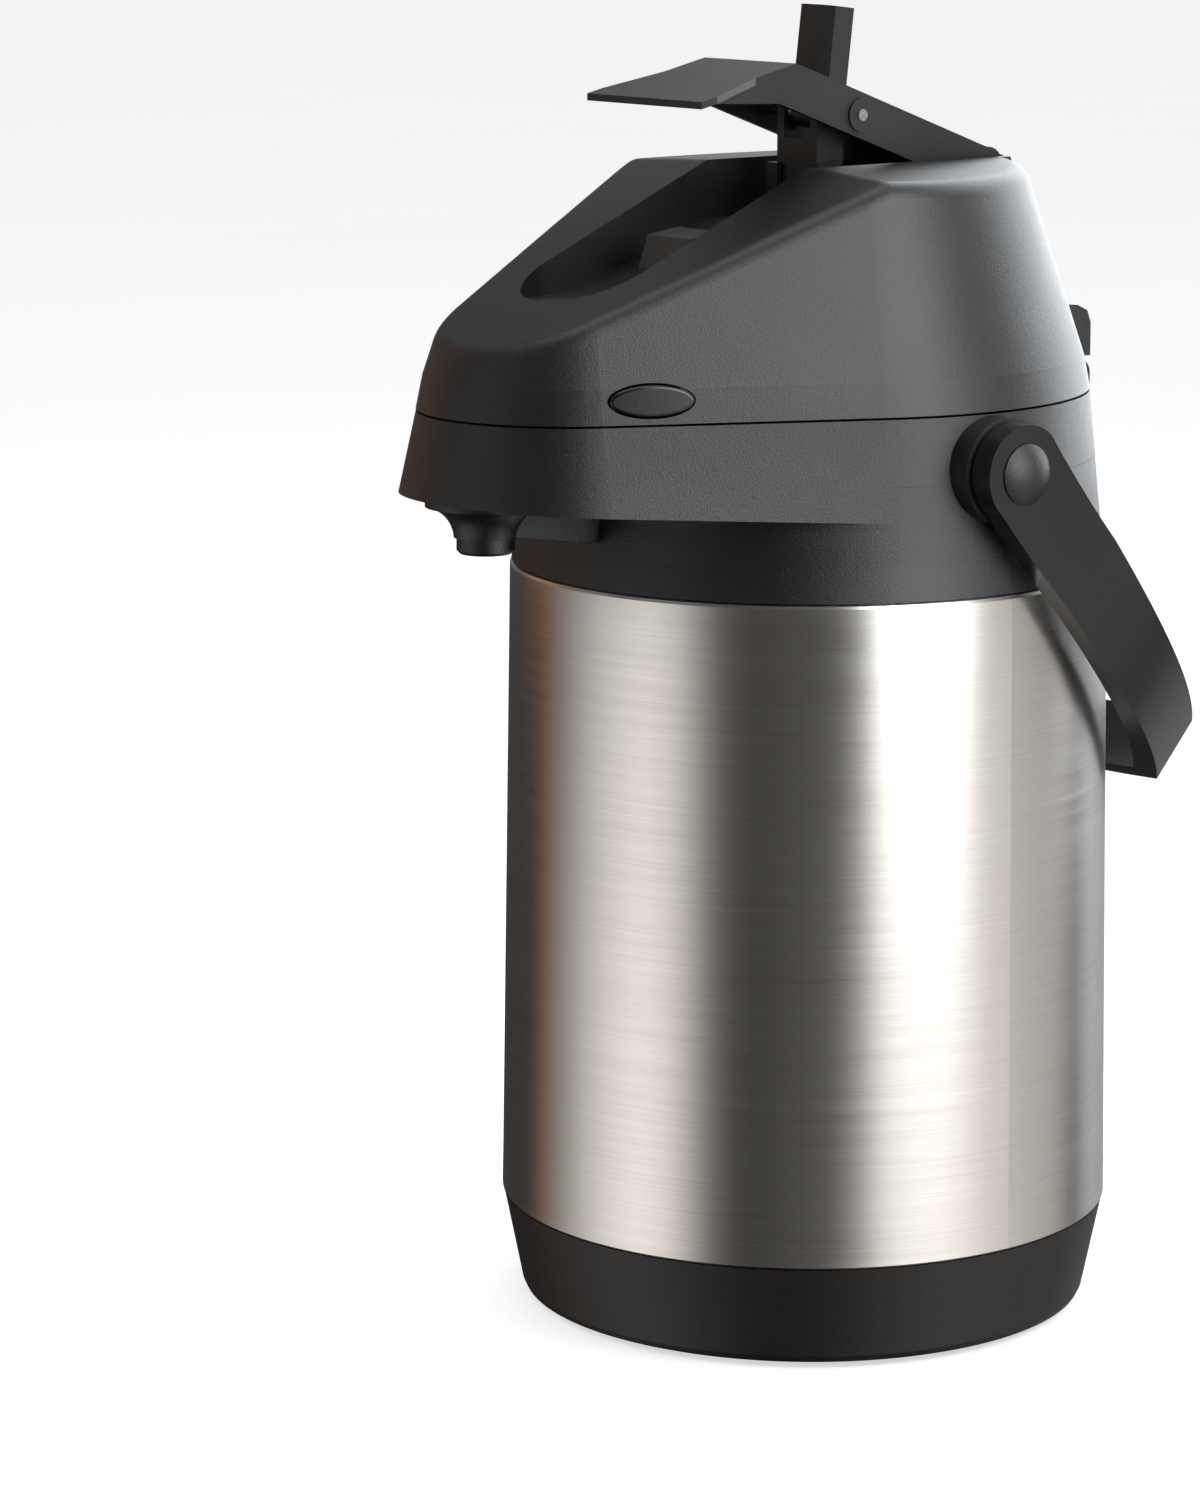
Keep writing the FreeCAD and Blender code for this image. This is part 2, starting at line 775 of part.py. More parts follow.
def washer(side, turn):
    """Spring washer between the boss and the hub."""
    start = (S.boss_face + 0.05) * turn
    place = dict(y=-S.pivot_forward, z=S.pivot_height, axis=Y_AXIS, angle=90 * turn)
    disc = cylinder(f"washer_disc_{side}", S.boss_radius - 3.0, S.washer_thickness, x=start, **place)
    hole = cylinder(f"washer_hole_{side}", S.stud_radius + 0.1, 8.0, x=start - 3.0 * turn, **place)
    return cut(f"washer_{side}", disc, hole)


node(handle_stud("right", 1), "handle_stud_right")
node(handle_stud("left", -1), "handle_stud_left")
node(group("washer", washer("right", 1), washer("left", -1)), "handle_washers")

# ---------------------------------------------------------------- lid


def lid_block(inset):
    """The lid's outside, or its hollow when inset by a wall."""
    radius, nose = val("seam_radius") - inset, val("seam_nose_radius") - inset
    band, top = val("band_top"), 320.0
    shrink = val("band_draft") + val("lid_draft") * (top - band)
    sides = stacked([
        (radius, nose, val("lid_bottom")),
        (radius - val("band_draft"), nose - val("band_draft"), band),
        (radius - shrink, nose - shrink, top),
    ])
    return sides, crowned(inset, 0.0).common(crowned(inset, val("slope_angle")))


def crowned(inset, angle):
    """Everything below a cross-crowned roof that falls forward at an angle."""
    crown, height = val("lid_crown_radius"), val("lid_crown_height") - inset
    half = 90.0
    drop = crown - math.sqrt(crown ** 2 - half ** 2)
    length = 200.0
    left, right = Vector(-half, 0, -drop), Vector(half, 0, -drop)
    face = Part.Face(Part.Wire([
        arc(left, ORIGIN, right),
        straight(right, Vector(half, 0, -160)),
        straight(Vector(half, 0, -160), Vector(-half, 0, -160)),
        straight(Vector(-half, 0, -160), left),
    ]))
    face.translate(Vector(0, -length, 0))
    roof = face.extrude(Vector(0, 2 * length, 0))
    roof.rotate(ORIGIN, X_AXIS, angle)
    roof.translate(Vector(0, -val("slope_start"), height))
    return roof


def recess_block(grow):
    """The lever's pocket in the roof, or the tub around it when grown by a wall."""
    half = val("recess_half_width") + grow
    front, rear = -val("recess_front") - grow, val("recess_rear") + grow
    floor = val("recess_floor") - grow
    lip = Vector(-half, front, 268.3 - grow)
    scoop = Vector(-half, -76.0, 267.4 - grow)
    ramp = Vector(-half, -53.0, 271.2 - grow)
    knee = Vector(-half, -40.0, 276.0 - grow)
    shelf = Vector(-half, -24.0, floor)
    heel = Vector(-half, rear, floor)
    outline = Part.Wire([
        arc(lip, scoop, ramp),
        straight(ramp, knee),
        straight(knee, shelf),
        straight(shelf, heel),
        straight(heel, Vector(-half, rear, 310)),
        straight(Vector(-half, rear, 310), Vector(-half, front, 310)),
        straight(Vector(-half, front, 310), lip),
    ])
    side = Part.Face(outline).extrude(Vector(2 * half, 0, 0))
    plan = Part.makeBox(2 * half, rear - front, 80, Vector(-half, front, 250))
    front_edges = []
    rear_edges = []
    for edge in plan.Edges:
        middle = edge.CenterOfMass
        if abs(abs(middle.x) - half) < 0.01 and abs(middle.y - front) < 0.01:
            front_edges.append(edge)
        if abs(abs(middle.x) - half) < 0.01 and abs(middle.y - rear) < 0.01:
            rear_edges.append(edge)
    plan = plan.makeFillet(val("recess_corner") + grow, front_edges)
    return side.common(plan)


def button_normal(turn):
    """Outward direction of the nose's flank on one side."""
    lean = math.asin((val("seam_radius") - val("seam_nose_radius")) / val("nose_reach"))
    return Vector(turn * math.cos(lean), -math.sin(lean), 0)


def button_place(turn, depth):
    spot = Vector(turn * val("button_side"), -val("button_forward"), val("button_height"))
    return spot + button_normal(turn) * depth


def oval_bar(turn, longer, taller, outer, inner):
    """An oval bar along the flank's normal, between two depths."""
    normal = button_normal(turn)
    along = Vector(-normal.y, normal.x, 0)
    start = button_place(turn, inner)
    ellipse = Part.Ellipse(
        start + along * (val("button_half_length") + longer),
        start + Z_AXIS * (val("button_half_height") + taller),
        start,
    )
    face = Part.Face(Part.Wire([ellipse.toShape()]))
    return face.extrude(normal * (outer - inner))


SCREW_SPOTS = ((44, 32), (-44, 32), (40, -40), (-40, -40))


def lid_shape():
    wall = val("plastic_wall")
    sides, roof = lid_block(0.0)
    outside = sides.common(roof).removeSplitter()
    roof_edges = []
    for edge in outside.Edges:
        box_ = edge.BoundBox
        on_roof = box_.ZMin > 255.0 and edge.Length > 8.0
        middle = edge.valueAt((edge.FirstParameter + edge.LastParameter) / 2)
        off_axis = abs(middle.x) > 15.0 or middle.y > 40.0 or middle.y < -90.0
        if on_roof and off_axis:
            roof_edges.append(edge)
    rounded = outside.makeFillet(val("lid_edge_round"), roof_edges)
    hollow_sides, hollow_roof = lid_block(wall)
    hollow = hollow_sides.common(hollow_roof)
    shell = rounded.cut(hollow)
    tub = recess_block(val("recess_wall")).common(outside)
    shell = shell.fuse(tub)
    # posts for the screws of the inner plate
    top_of_plate = val("plate_bottom") + val("plate_thickness") + 0.1
    for x, y in SCREW_SPOTS:
        post = Part.makeCylinder(3.6, 60, Vector(x, y, top_of_plate))
        shell = shell.fuse(post.common(rounded))
    for x, y in SCREW_SPOTS:
        shell = shell.cut(Part.makeCylinder(1.5, 12, Vector(x, y, top_of_plate - 1)))
    shell = shell.cut(recess_block(0.0))
    # guide hole for the pump rod, pin holes for the lever, slot for the latch
    rod_y = val("rod_back") - (val("rod_back") + val("rod_front")) / 2
    shell = shell.cut(Part.makeBox(19.6, 13.0, 10, Vector(-9.8, rod_y - 6.5, 278)))
    shell = shell.cut(through_x(
        val("lever_pin_radius"), val("lever_pivot_back"), val("lever_pivot_height"), 21.6
    ))
    shell = shell.cut(Part.makeBox(6.6, 13.4, 20, Vector(-3.3, -51.0, 262)))
    for turn in (1, -1):
        shell = shell.cut(oval_bar(turn, 0.4, 0.4, 4.0, -6.0))
    return shell.removeSplitter()


lid_outside_sides, lid_outside_roof = lid_block(0.0)
lid_outside = lid_outside_sides.common(lid_outside_roof)
feature("lid_shell", lid_shape())

plate = Part.Face(footprint(
    val("seam_radius") - val("plastic_wall") - val("plate_gap") - 0.3,
    val("seam_nose_radius") - val("plastic_wall") - val("plate_gap") - 0.3,
    val("plate_bottom"),
)).extrude(Vector(0, 0, val("plate_thickness")))
plate = plate.cut(Part.makeCylinder(val("plate_bore"), 10, Vector(0, 0, val("plate_bottom") - 2)))
for x, y in SCREW_SPOTS:
    plate = plate.cut(Part.makeCylinder(1.6, 10, Vector(x, y, val("plate_bottom") - 2)))
for turn in (1, -1):
    facing = FreeCAD.Rotation(X_AXIS, button_normal(turn))
    notch = Part.makeBox(17.0, 27.0, 20.0, Vector(-14.2, -13.5, -10.0))
    notch.Placement = FreeCAD.Placement(button_place(turn, 0.0), facing)
    plate = plate.cut(notch)
    stop = Part.makeBox(1.6, 9.0, 8.0, Vector(-15.8, -4.5, 0))
    foot_spot = button_place(turn, 0.0)
    foot_spot.z = val("plate_bottom") + val("plate_thickness")
    stop.Placement = FreeCAD.Placement(foot_spot, facing)
    plate = plate.fuse(stop)
feature("lid_plate", plate)


def lid_screw(name, x, y):
    head = cylinder(f"{name}_head", 3.0, 1.4, x=x, y=y, z=S.plate_bottom - 1.4)
    shank = cylinder(f"{name}_shank", 1.45, 9.0, x=x, y=y, z=S.plate_bottom)
    return fuse(name, head, shank)


node(
    group("lid_screw", *[
        lid_screw(f"lid_screw_{index}", x, y) for index, (x, y) in enumerate(SCREW_SPOTS)
    ]),
    "lid_screws",
)

node(
    revolved_body("lid_gasket", [
        (S.gasket_bore, S.gasket_bottom),
        (S.gasket_radius, S.gasket_bottom),
        (S.gasket_radius, S.plate_bottom),
        (S.gasket_bore, S.plate_bottom),
    ]),
    "lid_gasket",
)

# ---------------------------------------------------------------- rear hinge

hinge_centre = (val("hinge_back"), val("hinge_height"))


def hinge_base_shape():
    """Bracket on the collar, with two outer knuckles."""
    back, height = hinge_centre
    knuckle = val("knuckle_radius")
    half, inner = val("hinge_half_width"), val("knuckle_half_width") + 0.4
    block = side_prism([
        (60, 198.0),
        (83.6, 198.0),
        (84.4, 205.0),
        (83.2, 220.0),
        (81.4, 229.0),
        (79.4, val("hinge_base_top")),
        (60, val("hinge_base_top")),
    ], half)
    ear = side_prism([
        (60, 230.0),
        (back + knuckle, 230.0),
        (back + knuckle, height),
        (60, height),
    ], half)
    ears = ear.fuse(through_x(knuckle, back, height, half))
    gap = Part.makeBox(2 * inner, 60, 60, Vector(-inner, 50, 190))
    ears = ears.cut(gap)
    bracket = block.fuse(ears)
    barrel, nose = collar_block(0.0)
    bracket = bracket.cut(barrel)
    top = Part.makeCylinder(val("seam_radius") + 0.4, 30, Vector(0, 0, val("seam_height") - 0.5))
    bracket = bracket.cut(top)
    return bracket.cut(through_x(val("hinge_pin_radius"), back, height, half + 5)).removeSplitter()


def hinge_cover_shape():
    """Bracket on the lid, with the middle knuckle."""
    back, height = hinge_centre
    knuckle, half = val("knuckle_radius"), val("hinge_half_width")
    bottom, top = val("hinge_cover_bottom"), val("hinge_cover_top")
    block = side_prism([
        (60, bottom),
        (back + knuckle, bottom),
        (back + knuckle, top - 5.0),
        (back + knuckle - 1.4, top - 1.6),
        (back + knuckle - 5.0, top),
        (60, top + 1.2),
    ], half)
    middle = val("knuckle_half_width")
    neck = side_prism([
        (back - knuckle, height),
        (back + knuckle, height),
        (back + knuckle, bottom + 1),
        (back - knuckle, bottom + 1),
    ], middle)
    cover = block.fuse(neck).fuse(through_x(knuckle, back, height, middle))
    cover = cover.cut(lid_outside)
    pin = val("hinge_pin_radius") + val("running_clearance")
    return cover.cut(through_x(pin, back, height, half + 5)).removeSplitter()


feature("hinge_base", hinge_base_shape())
feature("hinge_cover", hinge_cover_shape())
node(
    cylinder(
        "lid_hinge_pin", S.hinge_pin_radius, S.hinge_half_width * 2.0,
        x=-S.hinge_half_width, y=S.hinge_back, z=S.hinge_height, axis=Y_AXIS, angle=90,
    ),
    "lid_hinge_pin",
)

# ---------------------------------------------------------------- lever


def lever_shape():
    """An upturned channel that widens to a thin paddle."""
    back, height = val("lever_pivot_back"), val("lever_pivot_height")
    half, wall, hub = val("lever_half_width"), val("lever_wall"), val("lever_hub_radius")
    bend = (-val("lever_bend"), val("lever_bend_height"))
    tip_y, tip_z = -val("paddle_tip"), val("paddle_tip_height")
    thin = val("paddle_thickness")
    body = side_prism([
        (48.2, 300.1),
        bend,
        (tip_y, tip_z),
        (tip_y, tip_z - thin),
        (-47.5, tip_z - thin + 1.0),
        (-47.5, 316.0),
        (-26.0, 315.2),
        (18.2, 299.2),
        (44.0, 290.6),
        (back + 1.0, height - hub),
    ], half)
    body = body.fuse(through_x(hub, back, height, half))
    fall = (tip_z - bend[1]) / (tip_y - bend[0])
    under_tip = tip_z - thin
    hollow = side_prism([
        (56.0, 297.3 - wall),
        (45.0, 299.2),
        (bend[0] + 0.3, bend[1] - wall * 1.1),
        (-46.0, under_tip + fall * 8.0),
        (-46.0, 300.0),
        (20.0, 280.0),
        (56.0, 280.0),
    ], half - wall)
    body = body.cut(hollow)
    # the flared paddle
    flare_start = -34.0
    slab = side_prism([
        (flare_start + 6, tip_z + fall * (flare_start + 6 - tip_y)),
        (tip_y, tip_z),
        (tip_y, tip_z - thin),
        (flare_start + 6, tip_z - thin + fall * (flare_start + 6 - tip_y)),
    ], 40)
    wide = val("paddle_half_width")
    plan = prism([
        Vector(half - 0.5, flare_start + 6, 300),
        Vector(half, flare_start, 300),
        Vector(wide, tip_y + 5.0, 300),
        Vector(wide, tip_y, 300),
        Vector(-wide, tip_y, 300),
        Vector(-wide, tip_y + 5.0, 300),
        Vector(-half, flare_start, 300),
        Vector(-half + 0.5, flare_start + 6, 300),
    ], Vector(0, 0, 40))
    body = body.fuse(slab.common(plan))
    # slot that the lock bar folds into
    slot = val("lock_slot_half_width")
    body = body.cut(Part.makeBox(2 * slot, 38.0, 30, Vector(-slot, -7.0, 305)))
    pin_y, pin_z = val("cross_pin_back"), val("cross_pin_height")
    lugs = through_x(val("lug_radius"), pin_y, pin_z, half + val("lug_height"))
    lugs = lugs.cut(through_x(val("lug_radius") + 1, pin_y, pin_z, half - wall))
    body = body.fuse(lugs)
    body = body.cut(through_x(val("cross_pin_radius") + 0.02, pin_y, pin_z, 30))
    pin = val("lever_pin_radius") + val("running_clearance")
    return body.cut(through_x(pin, back, height, 30)).removeSplitter()


feature("lever", lever_shape())
node(
    cylinder(
        "cross_pin", S.cross_pin_radius, (S.lever_half_width + 0.9) * 2.0,
        x=-(S.lever_half_width + 0.9), y=S.cross_pin_back, z=S.cross_pin_height,
        axis=Y_AXIS, angle=90,
    ),
    "cross_pin",
)
node(
    cylinder(
        "lever_hinge_pin", S.lever_pin_radius, 43.0,
        x=-21.5, y=S.lever_pivot_back, z=S.lever_pivot_height, axis=Y_AXIS, angle=90,
    ),
    "lever_hinge_pin",
)

# ---------------------------------------------------------------- lock bar

lock_depth = S.lock_half_depth * 2.0
lock_blade = box(
    "lock_blade", S.lock_half_width * 2.0, lock_depth, S.lock_length - S.lock_shoulder,
    x=-S.lock_half_width, y=-S.lock_half_depth, z=S.lock_shoulder,
)
lock_tongue = box(
    "lock_tongue", S.lock_tongue_half_width * 2.0, lock_depth, S.lock_shoulder + 1.0,
    x=-S.lock_tongue_half_width, y=-S.lock_half_depth,
)
lock_barrel = cylinder(
    "lock_barrel", S.lock_half_depth, S.lock_tongue_half_width * 2.0,
    x=-S.lock_tongue_half_width, axis=Y_AXIS, angle=90,
)
lock_bore = cylinder(
    "lock_bore", S.cross_pin_radius + S.running_clearance, 20.0, x=-10.0, axis=Y_AXIS, angle=90,
)
bevel_run = S.lock_bevel + 1.0
lock_bevels = [
    box(
        "lock_bevel_right", 12.0, 12.0, 60.0,
        x=S.lock_half_width - bevel_run, y=-S.lock_half_depth - 1.0, z=-10.0, angle=-45,
    ),
    box(
        "lock_bevel_left", 12.0, 12.0, 60.0,
        x=-S.lock_half_width - 1.0, y=-S.lock_half_depth + bevel_run, z=-10.0, angle=-135,
    ),
]
lock_solid = fuse("lock_bar", lock_blade, lock_tongue, lock_barrel)
lock_bar = cut("lock_bar", lock_solid, lock_bore, *lock_bevels)
move(lock_bar, y=S.cross_pin_back, z=S.cross_pin_height, axis=X_AXIS, angle=-val("lock_lean"))
node(lock_bar, "lock_bar")

# ---------------------------------------------------------------- pump

piston_top = S.piston_bottom + S.piston_thickness
rod_depth = S.rod_front + S.rod_back
rod_post = box(
    "rod_post", S.rod_half_width * 2.0, rod_depth, S.rod_top - piston_top,
    x=-S.rod_half_width, y=-S.rod_front, z=piston_top,
)
fork_gap = box(
    "fork_gap", S.rod_fork_gap * 2.0, 20.0, 20.0, x=-S.rod_fork_gap, y=-10.0, z=S.rod_fork_bottom,
)
slot_half = S.cross_pin_radius + S.pin_slot_clearance
slot_length = S.cross_pin_back + S.pin_slot_front
pin_slot = box(
    "pin_slot", 30.0, slot_length, slot_half * 2.0,
    x=-15.0, y=-S.pin_slot_front, z=S.cross_pin_height - slot_half,
)
slot_ends = [
    cylinder(
        f"slot_end_{name}", slot_half, 30.0, x=-15.0, y=spot, z=S.cross_pin_height,
        axis=Y_AXIS, angle=90,
    )
    for name, spot in (("front", -S.pin_slot_front), ("back", S.cross_pin_back))
]
node(cut("pump_rod", rod_post, fork_gap, pin_slot, *slot_ends), "pump_rod")

piston_disc = cylinder("piston_disc", S.piston_radius, S.piston_thickness, z=S.piston_bottom)
piston_vent = cylinder("piston_vent", 2.5, 10.0, y=-16.0, z=S.piston_bottom - 3.0)
node(cut("piston", piston_disc, piston_vent), "piston")
node(cylinder("air_valve", 5.0, 0.8, y=-16.0, z=piston_top + 0.05), "air_valve")

guide_gap = S.slide_clearance
guide_half = S.rod_half_width + guide_gap + 1.5
guide_front = S.rod_front + guide_gap + 1.5
guide_block = box(
    "guide_block", guide_half * 2.0, rod_depth + guide_gap * 2.0 + 3.0, 9.0,
    x=-guide_half, y=-guide_front, z=S.recess_floor - 2.4,
)
guide_guard = box(
    "guide_guard", guide_half * 2.0, 2.6, 12.0,
    x=-guide_half, y=-guide_front, z=S.recess_floor + 2.3,
)
guide_hole = box(
    "guide_hole", (S.rod_half_width + guide_gap) * 2.0, rod_depth + guide_gap * 2.0, 40.0,
    x=-S.rod_half_width - guide_gap, y=-S.rod_front - guide_gap, z=S.recess_floor - 10.0,
)
guide_notch = box(
    "guide_notch", (S.lock_tongue_half_width + 0.7) * 2.0, 8.0, 20.0,
    x=-S.lock_tongue_half_width - 0.7, y=-guide_front - 1.0, z=S.recess_floor + 6.6,
)
node(
    cut("rod_guide", fuse("rod_guide", guide_block, guide_guard), guide_hole, guide_notch),
    "rod_guide",
)

bellows_low = S.plate_bottom + S.plate_thickness + 0.1
FOLDS = 5
bellows_rise = (S.piston_bottom - 0.1 - bellows_low) * (1 / (2 * FOLDS))
bellows_outside = []
bellows_inside = []
for step in range(2 * FOLDS + 1):
    radius = S.bellows_radius if step % 2 else S.bellows_inner
    level = bellows_low + bellows_rise * step
    bellows_outside.append((radius, level))
    bellows_inside.append((radius - S.bellows_wall, level))
node(revolved_body("bellows", bellows_outside + bellows_inside[::-1]), "bellows")

TURNS = 5
STEPS_PER_TURN = 12
spring_low = val("plate_bottom") + val("plate_thickness") + val("spring_wire") + 0.1
spring_high = val("piston_bottom") - val("spring_wire") - 0.1
spring_rise = spring_high - spring_low
coil_points = []
for step in range(TURNS * STEPS_PER_TURN + 1):
    bearing = 2 * math.pi * step / STEPS_PER_TURN
    climb = spring_rise * step / (TURNS * STEPS_PER_TURN)
    coil_points.append(Vector(
        val("spring_radius") * math.cos(bearing),
        val("spring_radius") * math.sin(bearing),
        climb,
    ))
coil = Part.BSplineCurve()
coil.interpolate(coil_points)
coil_start = Vector(coil.tangent(coil.FirstParameter)[0])
spring = round_pipe(Part.Wire([coil.toShape()]), val("spring_wire"), coil_points[0], coil_start)
feature("return_spring", spring, Vector(0, 0, spring_low))

# ---------------------------------------------------------------- latch


def latch_shape():
    """A wedge-topped slider on the recess floor, with a tongue through its slot."""
    block = side_prism([
        (-49.9, 273.7),
        (-46.8, 282.0),
        (-37.2, 283.4),
        (-35.9, 282.4),
        (-36.4, 280.4),
        (-40.2, 277.4),
    ], val("latch_half_width"))
    tongue = side_prism([
        (-47.4, 277.0),
        (-42.0, 279.0),
        (-42.0, 270.5),
        (-47.4, 268.5),
    ], 3.0)
    return block.fuse(tongue).removeSplitter()


feature("latch_slider", latch_shape())
keeper = side_prism([(-49.4, 265.4), (-40.2, 268.8), (-40.2, 270.6), (-49.4, 267.2)], 6.0)
keeper = keeper.cut(side_prism([(-47.4, 262), (-42.0, 262), (-42.0, 274), (-47.4, 274)], 3.0))
feature("latch_keeper", keeper)

# ---------------------------------------------------------------- release buttons


def button_shape(turn):
    """Oval cap that stands a little proud, with a wider collar behind the wall."""
    cap = oval_bar(turn, 0.0, 0.0, 0.9, -5.0)
    outer_edges = []
    for edge in cap.Edges:
        depth = (edge.CenterOfMass - button_place(turn, 0.0)).dot(button_normal(turn))
        if depth > 0.5 and edge.Length > 20:
            outer_edges.append(edge)
    cap = cap.makeFillet(0.8, outer_edges)
    flange = oval_bar(turn, 1.6, -0.4, -3.4, -5.0)
    return cap.fuse(flange).removeSplitter()


def spring_coil():
    """Coil between the button and its stop, drawn at its pressed length."""
    length = 5.0
    coil_radius, wire_radius = 2.4, 0.35
    turn_helix = Part.makeHelix(length / 4, length, coil_radius)
    return round_pipe(Part.Wire(turn_helix.Edges), wire_radius, Vector(coil_radius, 0, 0), Y_AXIS)


for side, turn in (("right", 1), ("left", -1)):
    feature(f"release_button_{side}", button_shape(turn))
    feature(
        f"button_spring_{side}",
        spring_coil(),
        button_place(turn, -13.7),
        FreeCAD.Rotation(Z_AXIS, button_normal(turn)),
    )

# ---------------------------------------------------------------- check and write

doc.recompute()
for obj in doc.Objects:
    if "Invalid" in obj.State or "Error" in obj.State:
        raise RuntimeError(f"{obj.Label} did not build: {obj.State}")
os.makedirs("parts", exist_ok=True)
for obj in nodes:
    shape = obj.Shape
    if shape.isNull() or not shape.isValid() or not shape.Solids:
        raise RuntimeError(f"{obj.Label} has no valid solid")
    print(f"{obj.Label:24s} solids {len(shape.Solids)}  volume {shape.Volume:10.1f}")
    shape.exportStep(f"parts/{obj.Label}.step")
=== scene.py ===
import json
import math

import bpy
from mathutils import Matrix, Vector

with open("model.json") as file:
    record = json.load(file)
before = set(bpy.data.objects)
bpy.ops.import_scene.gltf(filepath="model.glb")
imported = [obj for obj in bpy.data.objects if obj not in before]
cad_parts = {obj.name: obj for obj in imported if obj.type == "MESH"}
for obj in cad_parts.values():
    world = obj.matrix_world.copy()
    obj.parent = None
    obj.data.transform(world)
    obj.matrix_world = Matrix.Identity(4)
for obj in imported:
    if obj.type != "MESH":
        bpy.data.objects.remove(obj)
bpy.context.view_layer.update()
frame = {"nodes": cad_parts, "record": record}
nodes = frame["nodes"]
scene = bpy.context.scene

# ---------------------------------------------------------------- driving values, in metres

CAMERA_SPOT = Vector((0.93343, -0.81141, 0.3917))
CAMERA_LOOK = Vector((-0.76748, 0.61040, -0.19592))
CAMERA_LENS = 115.2
CAMERA_SENSOR = 36.0
CAMERA_BEARING = math.degrees(math.atan2(CAMERA_SPOT.x, -CAMERA_SPOT.y))

TENT_RADIUS = 0.62
TENT_FOOT = -0.7
TENT_SPLIT = 0.16
TENT_TOP = 1.1
TENT_SEGMENTS = 180
FLOOR_SIZE = 30.0
FLOOR_GLOW = 0.6
BACKDROP_HEIGHT = 12.0
WORLD_STRENGTH = 0.42
SKIN_BUMP_DEPTH = 0.0002
BRUSH_BUMP_DEPTH = 0.00005

# tints of the light seen in reflections
WARM = (1.0, 0.97, 0.93)
COOL = (0.93, 0.97, 1.0)
ORANGE = (1.0, 0.55, 0.3)

# Bearing in degrees from the camera, brightness and tint of what the steel wall mirrors.
LOW_STOPS = [
    (-180, 0.04, COOL), (-147, 0.05, COOL), (-120, 0.04, COOL), (-111, 0.22, ORANGE),
    (-98, 0.4, WARM), (-87, 0.72, WARM), (-72, 1.2, WARM), (-60, 1.5, WARM),
    (-48, 1.2, WARM), (-40, 0.62, WARM), (-33, 0.22, WARM), (-25, 0.075, WARM),
    (-17, 0.064, WARM), (0, 0.098, WARM), (12, 0.11, WARM), (21, 0.36, WARM),
    (29, 0.9, WARM), (38, 1.2, WARM), (50, 1.32, WARM), (61, 1.2, WARM),
    (70, 1.08, WARM), (80, 0.84, WARM), (91, 0.67, WARM), (104, 0.54, WARM),
    (118, 0.05, COOL), (131, 0.53, COOL), (150, 0.4, COOL), (180, 0.04, COOL),
]
# The same for the plastics above: dark studio with a few strong soft boxes.
HIGH_STOPS = [
    (-180, 0.7, COOL), (-160, 0.25, COOL), (-135, 0.1, WARM), (-125, 0.5, ORANGE),
    (-110, 0.4, ORANGE), (-100, 0.12, WARM), (-80, 0.3, COOL), (-55, 0.45, COOL),
    (-35, 0.12, WARM), (10, 0.08, WARM), (20, 0.2, WARM), (28, 6.0, COOL),
    (55, 7.0, COOL), (64, 0.4, WARM), (100, 0.2, WARM), (112, 4.4, COOL),
    (165, 4.4, COOL), (180, 0.7, COOL),
]

# ---------------------------------------------------------------- node helpers


def new_material(name):
    material = bpy.data.materials.new(name)
    material.use_nodes = True
    tree = material.node_tree
    tree.nodes.clear()
    return material, tree


def add(tree, kind, **settings):
    """Adds a node; settings whose names are input sockets set those sockets."""
    node = tree.nodes.new(kind)
    for name, value in settings.items():
        label = name.replace("_", " ").title()
        if hasattr(node, name):
            setattr(node, name, value)
        else:
            node.inputs[label].default_value = value
    return node


def link(tree, source, out, target, into):
    tree.links.new(source.outputs[out], target.inputs[into])


def ramp(tree, stops):
    node = tree.nodes.new("ShaderNodeValToRGB")
    elements = node.color_ramp.elements
    while len(elements) > 1:
        elements.remove(elements[-1])
    elements[0].position = stops[0][0]
    elements[0].color = (*stops[0][1], 1)
    for position, colour in stops[1:]:
        element = elements.new(position)
        element.color = (*colour, 1)
    return node


def grey(value):
    return (value, value, value)


def principled(tree, colour, roughness, metallic=0.0, **extra):
    shader = tree.nodes.new("ShaderNodeBsdfPrincipled")
    shader.inputs["Base Color"].default_value = (*colour, 1)
    shader.inputs["Roughness"].default_value = roughness
    shader.inputs["Metallic"].default_value = metallic
    for name, value in extra.items():
        shader.inputs[name.replace("_", " ")].default_value = value
    output = tree.nodes.new("ShaderNodeOutputMaterial")
    tree.links.new(shader.outputs["BSDF"], output.inputs["Surface"])
    return shader


# ---------------------------------------------------------------- materials


def moulded_plastic(name, colour, roughness, grain, depth, fleck=0.35, **extra):
    """Black moulded plastic with a fine spark-eroded skin."""
    material, tree = new_material(name)
    shader = principled(tree, colour, roughness, **extra)
    place = tree.nodes.new("ShaderNodeTexCoord")
    skin = add(tree, "ShaderNodeTexNoise", scale=grain, detail=3.0, roughness=0.6)
    link(tree, place, "Object", skin, "Vector")
    cloud = add(tree, "ShaderNodeTexNoise", scale=28.0, detail=2.0, roughness=0.5)
    link(tree, place, "Object", cloud, "Vector")
    # colour: tiny lighter and darker flecks from the fine skin noise
    low = tuple(c * (1 - fleck) for c in colour)
    high = tuple(c * (1 + 1.6 * fleck) for c in colour)
    tone = ramp(tree, [(0.32, low), (0.55, colour), (0.78, high)])
    link(tree, skin, "Fac", tone, "Fac")
    link(tree, tone, "Color", shader, "Base Color")
    # roughness drifts slowly, as handling polishes some places
    rough = add(tree, "ShaderNodeMapRange")
    rough.inputs["To Min"].default_value = roughness - 0.05
    rough.inputs["To Max"].default_value = roughness + 0.07
    link(tree, cloud, "Fac", rough, "Value")
    link(tree, rough, "Result", shader, "Roughness")
    bump = add(tree, "ShaderNodeBump", strength=depth, distance=SKIN_BUMP_DEPTH)
    link(tree, skin, "Fac", bump, "Height")
    link(tree, bump, "Normal", shader, "Normal")
    return material


